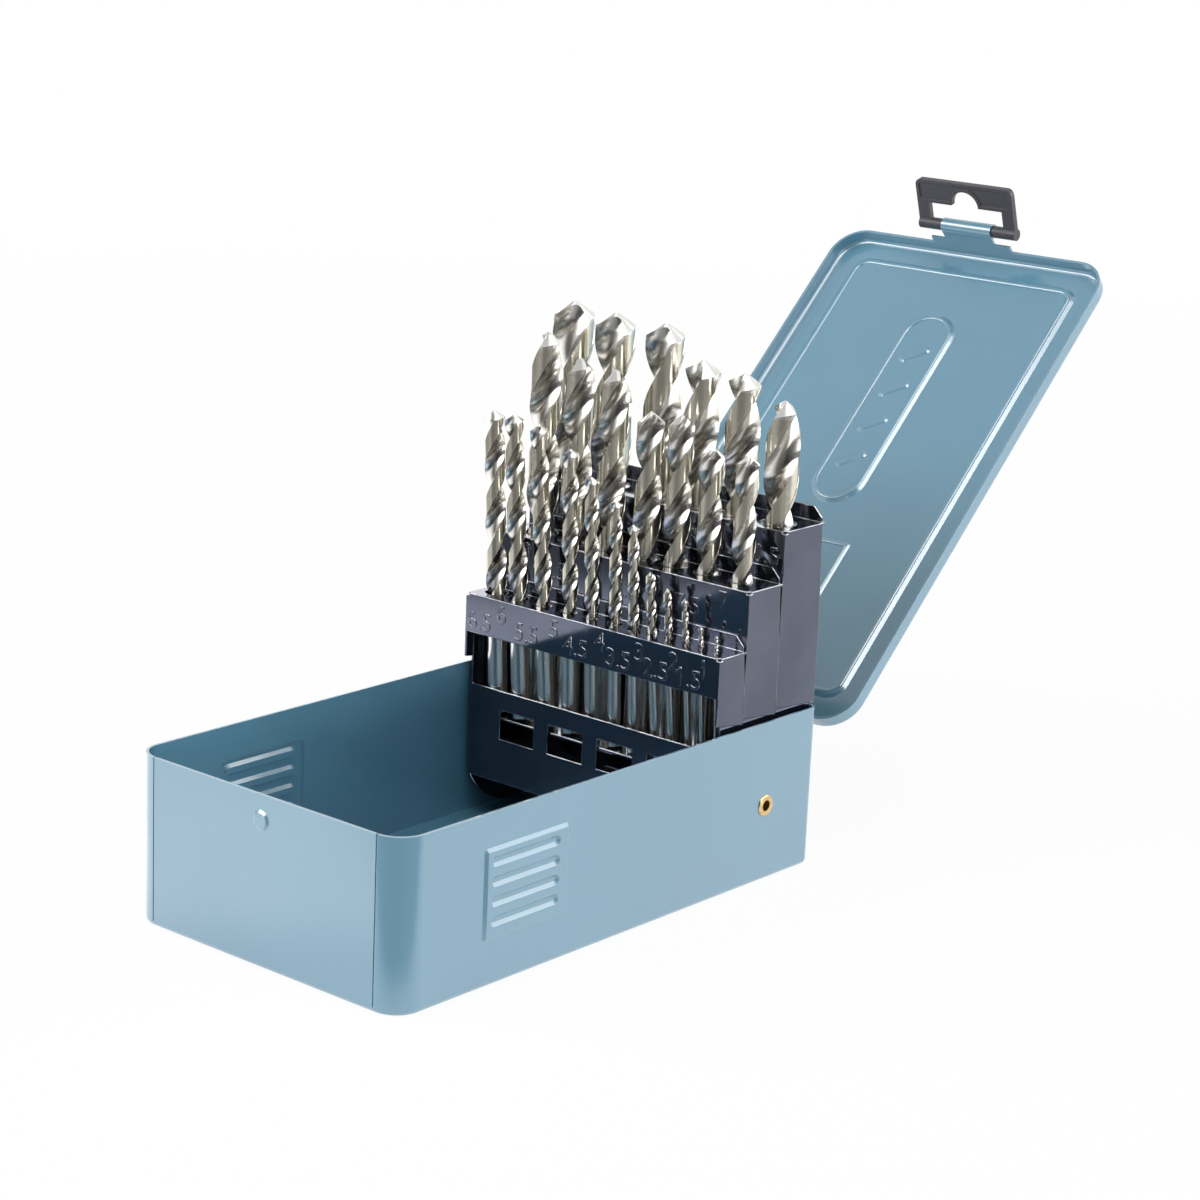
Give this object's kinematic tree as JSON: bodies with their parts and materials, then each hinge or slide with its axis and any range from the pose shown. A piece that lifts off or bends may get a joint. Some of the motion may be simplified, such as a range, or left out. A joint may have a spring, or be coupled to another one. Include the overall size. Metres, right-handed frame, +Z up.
{
  "type": "drill bit case",
  "caption": "Hinged sheet-steel case standing open, with a tilting three-tier rack of twist drills graded by size and a plastic hanger on the lid.",
  "frame": {"origin": "centre of the tray's bottom face", "axes": "+X across the case, +Y along it from the front end to the hinge end, +Z up"},
  "size_m": [0.1076, 0.3292, 0.1927],
  "materials": {
    "blue_paint": "grey-blue semi-gloss paint on sheet steel",
    "rack_black": "glossy blue-black oxide, bright at worn edges",
    "drill_steel": "bright ground high-speed steel",
    "pin_steel": "plain drawn steel",
    "eyelet_brass": "plain brass",
    "hanger_plastic": "dark grey satin plastic"
  },
  "bodies": {
    "case": {"case_tray": "blue_paint", "case_hinge_leaf": "blue_paint", "hinge_pin": "pin_steel", "eyelet_left": "eyelet_brass", "eyelet_right": "eyelet_brass"},
    "lid": {"lid": "blue_paint", "lid_hinge_leaf": "blue_paint"},
    "hanger": {"hanger": "hanger_plastic"},
    "rack": {"rack_base": "rack_black", "drill_rest": "rack_black", "rack_tier_front": "rack_black", "rack_tier_middle": "rack_black", "rack_tier_back": "rack_black"},
    "drill_6_5": {"drill_6_5": "drill_steel"},
    "drill_6_0": {"drill_6_0": "drill_steel"},
    "drill_5_5": {"drill_5_5": "drill_steel"},
    "drill_5_0": {"drill_5_0": "drill_steel"},
    "drill_4_5": {"drill_4_5": "drill_steel"},
    "drill_4_0": {"drill_4_0": "drill_steel"},
    "drill_3_5": {"drill_3_5": "drill_steel"},
    "drill_3_0": {"drill_3_0": "drill_steel"},
    "drill_2_5": {"drill_2_5": "drill_steel"},
    "drill_2_0": {"drill_2_0": "drill_steel"},
    "drill_1_5": {"drill_1_5": "drill_steel"},
    "drill_1_0": {"drill_1_0": "drill_steel"},
    "drill_10_0": {"drill_10_0": "drill_steel"},
    "drill_9_5": {"drill_9_5": "drill_steel"},
    "drill_9_0": {"drill_9_0": "drill_steel"},
    "drill_8_5": {"drill_8_5": "drill_steel"},
    "drill_8_0": {"drill_8_0": "drill_steel"},
    "drill_7_5": {"drill_7_5": "drill_steel"},
    "drill_7_0": {"drill_7_0": "drill_steel"},
    "drill_13_0": {"drill_13_0": "drill_steel"},
    "drill_12_5": {"drill_12_5": "drill_steel"},
    "drill_12_0": {"drill_12_0": "drill_steel"},
    "drill_11_5": {"drill_11_5": "drill_steel"},
    "drill_11_0": {"drill_11_0": "drill_steel"},
    "drill_10_5": {"drill_10_5": "drill_steel"}
  },
  "joints": [
    {"name": "lid_hinge", "type": "hinge", "parent": "case", "child": "lid", "pos_m": [0, 0.097, 0.0431], "axis": [-1, 0, 0], "range_deg": [-136.5, 0]},
    {"name": "rack_pivot", "type": "hinge", "parent": "case", "child": "rack", "pos_m": [0, 0.0659, 0.024], "axis": [-1, 0, 0], "range_deg": [-90, 0]},
    {"name": "hanger_swing", "type": "hinge", "parent": "lid", "child": "hanger", "pos_m": [0, 0.23214, 0.177], "axis": [-1, 0, 0], "range_deg": [-25, 140]},
    {"name": "drill_6_5_pull", "type": "slide", "parent": "rack", "child": "drill_6_5", "axis": [-0.0576, 0, 0.9983], "range_m": [0, 0.041]},
    {"name": "drill_6_0_pull", "type": "slide", "parent": "rack", "child": "drill_6_0", "axis": [-0.0785, 0, 0.9969], "range_m": [0, 0.041]},
    {"name": "drill_5_5_pull", "type": "slide", "parent": "rack", "child": "drill_5_5", "axis": [-0.0837, 0, 0.9965], "range_m": [0, 0.041]},
    {"name": "drill_5_0_pull", "type": "slide", "parent": "rack", "child": "drill_5_0", "axis": [-0.0454, 0, 0.999], "range_m": [0, 0.041]},
    {"name": "drill_4_5_pull", "type": "slide", "parent": "rack", "child": "drill_4_5", "axis": [-0.0523, 0, 0.9986], "range_m": [0, 0.041]},
    {"name": "drill_4_0_pull", "type": "slide", "parent": "rack", "child": "drill_4_0", "axis": [-0.0436, 0, 0.999], "range_m": [0, 0.041]},
    {"name": "drill_3_5_pull", "type": "slide", "parent": "rack", "child": "drill_3_5", "axis": [-0.0558, 0, 0.9984], "range_m": [0, 0.041]},
    {"name": "drill_3_0_pull", "type": "slide", "parent": "rack", "child": "drill_3_0", "axis": [-0.0958, 0, 0.9954], "range_m": [0, 0.041]},
    {"name": "drill_2_5_pull", "type": "slide", "parent": "rack", "child": "drill_2_5", "axis": [-0.0958, 0, 0.9954], "range_m": [0, 0.041]},
    {"name": "drill_2_0_pull", "type": "slide", "parent": "rack", "child": "drill_2_0", "axis": [-0.0906, 0, 0.9959], "range_m": [0, 0.041]},
    {"name": "drill_1_5_pull", "type": "slide", "parent": "rack", "child": "drill_1_5", "axis": [-0.075, 0, 0.9972], "range_m": [0, 0.041]},
    {"name": "drill_1_0_pull", "type": "slide", "parent": "rack", "child": "drill_1_0", "axis": [-0.0523, 0, 0.9986], "range_m": [0, 0.041]},
    {"name": "drill_10_0_pull", "type": "slide", "parent": "rack", "child": "drill_10_0", "axis": [0, 0, 1], "range_m": [0, 0.0749]},
    {"name": "drill_9_5_pull", "type": "slide", "parent": "rack", "child": "drill_9_5", "axis": [0, 0, 1], "range_m": [0, 0.0749]},
    {"name": "drill_9_0_pull", "type": "slide", "parent": "rack", "child": "drill_9_0", "axis": [0, 0, 1], "range_m": [0, 0.0749]},
    {"name": "drill_8_5_pull", "type": "slide", "parent": "rack", "child": "drill_8_5", "axis": [0, 0, 1], "range_m": [0, 0.0749]},
    {"name": "drill_8_0_pull", "type": "slide", "parent": "rack", "child": "drill_8_0", "axis": [0, 0, 1], "range_m": [0, 0.0749]},
    {"name": "drill_7_5_pull", "type": "slide", "parent": "rack", "child": "drill_7_5", "axis": [0, 0, 1], "range_m": [0, 0.0749]},
    {"name": "drill_7_0_pull", "type": "slide", "parent": "rack", "child": "drill_7_0", "axis": [0, 0, 1], "range_m": [0, 0.0749]},
    {"name": "drill_13_0_pull", "type": "slide", "parent": "rack", "child": "drill_13_0", "axis": [0, 0, 1], "range_m": [0, 0.0989]},
    {"name": "drill_12_5_pull", "type": "slide", "parent": "rack", "child": "drill_12_5", "axis": [0, 0, 1], "range_m": [0, 0.0989]},
    {"name": "drill_12_0_pull", "type": "slide", "parent": "rack", "child": "drill_12_0", "axis": [0, 0, 1], "range_m": [0, 0.0989]},
    {"name": "drill_11_5_pull", "type": "slide", "parent": "rack", "child": "drill_11_5", "axis": [0, 0, 1], "range_m": [0, 0.0989]},
    {"name": "drill_11_0_pull", "type": "slide", "parent": "rack", "child": "drill_11_0", "axis": [0, 0, 1], "range_m": [0, 0.0989]},
    {"name": "drill_10_5_pull", "type": "slide", "parent": "rack", "child": "drill_10_5", "axis": [0.007, 0, 1], "range_m": [0, 0.0989]}
  ],
  "couplings": [
    {"joint": "rack_pivot", "follows": "lid_hinge", "ratio": 0.659}
  ]
}
